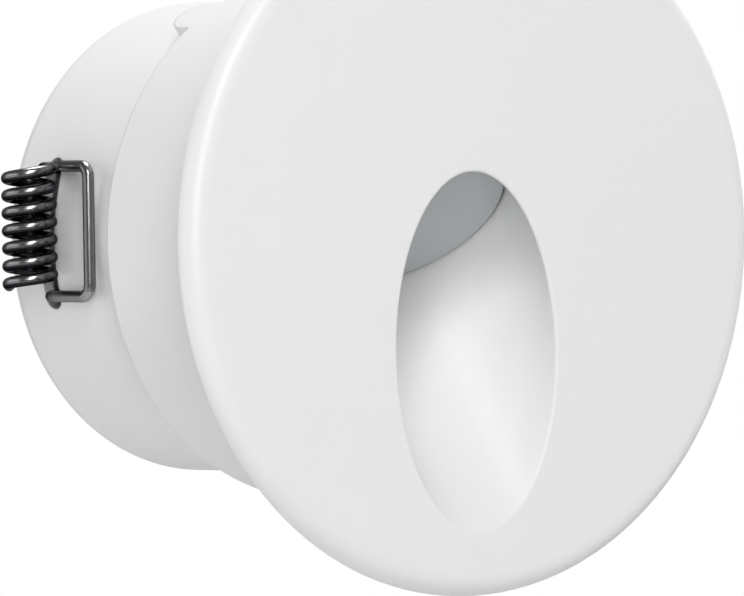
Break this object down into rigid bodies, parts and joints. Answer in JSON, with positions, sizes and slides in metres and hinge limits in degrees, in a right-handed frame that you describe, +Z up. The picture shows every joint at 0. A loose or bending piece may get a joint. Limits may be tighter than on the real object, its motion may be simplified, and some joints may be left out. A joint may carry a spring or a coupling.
{
  "type": "recessed outdoor spotlight",
  "caption": "Round white recessed wall light with a slanted oval scoop, a frosted lens inside it, a stepped rear can, sprung wire clips at its sides and a cable gland behind.",
  "frame": {"origin": "centre of the trim plate's back face, on the light's axis, where the plate meets the wall", "axes": "+Y into the wall along the light's axis, +Z up, +X to the right seen from the front"},
  "size_m": [0.084, 0.0685, 0.084],
  "materials": {
    "white_paint": "satin white powder paint",
    "frosted_lens": "frosted, matt grey",
    "spring_wire": "drawn spring wire",
    "foam": "closed-cell foam",
    "black_rubber": "smooth",
    "silicone": "matt",
    "white_plastic": "matt",
    "phosphor": "smooth",
    "board_white": "white solder mask",
    "screw_steel": "zinc plated",
    "bare_aluminium": "cast",
    "lead_jacket": "matt",
    "board_green": "solder mask",
    "black_sleeve": "smooth",
    "ferrite": "matt",
    "terminal_grey": "smooth",
    "gland_plastic": "moulded"
  },
  "bodies": {
    "housing": {"trim_plate": "white_paint", "scoop": "white_paint", "collar": "white_paint", "rear_can": "white_paint", "lens": "frosted_lens", "wall_gasket": "foam", "body_seal": "black_rubber", "lens_seal": "silicone", "lens_retainer": "white_plastic", "reflector": "white_plastic", "led_emitter": "phosphor", "led_board": "board_white", "board_screws": "screw_steel", "thermal_pad": "silicone", "led_carrier": "bare_aluminium", "carrier_screws": "screw_steel", "led_leads": "lead_jacket", "driver_board": "board_green", "driver_capacitor": "black_sleeve", "driver_inductor": "ferrite", "driver_rectifier": "black_sleeve", "driver_terminal": "terminal_grey", "driver_cup": "white_plastic", "driver_screws": "screw_steel", "case_screws": "screw_steel", "gland_body": "gland_plastic", "gland_washer": "black_rubber", "gland_locknut": "gland_plastic", "gland_seal": "black_rubber", "gland_nut": "gland_plastic"},
    "clip_left": {"clip_left": "spring_wire"},
    "clip_right": {"clip_right": "spring_wire"}
  },
  "joints": [
    {"name": "clip_left_hinge", "type": "hinge", "parent": "housing", "child": "clip_left", "pos_m": [-0.02565, 0.04302, 0.0012], "axis": [0, 0, -1], "range_deg": [0, 12], "stiffness_Nm_per_rad": 0.29},
    {"name": "clip_right_hinge", "type": "hinge", "parent": "housing", "child": "clip_right", "pos_m": [0.02565, 0.04302, -0.0012], "axis": [0, 0, 1], "range_deg": [0, 12], "stiffness_Nm_per_rad": 0.29}
  ]
}
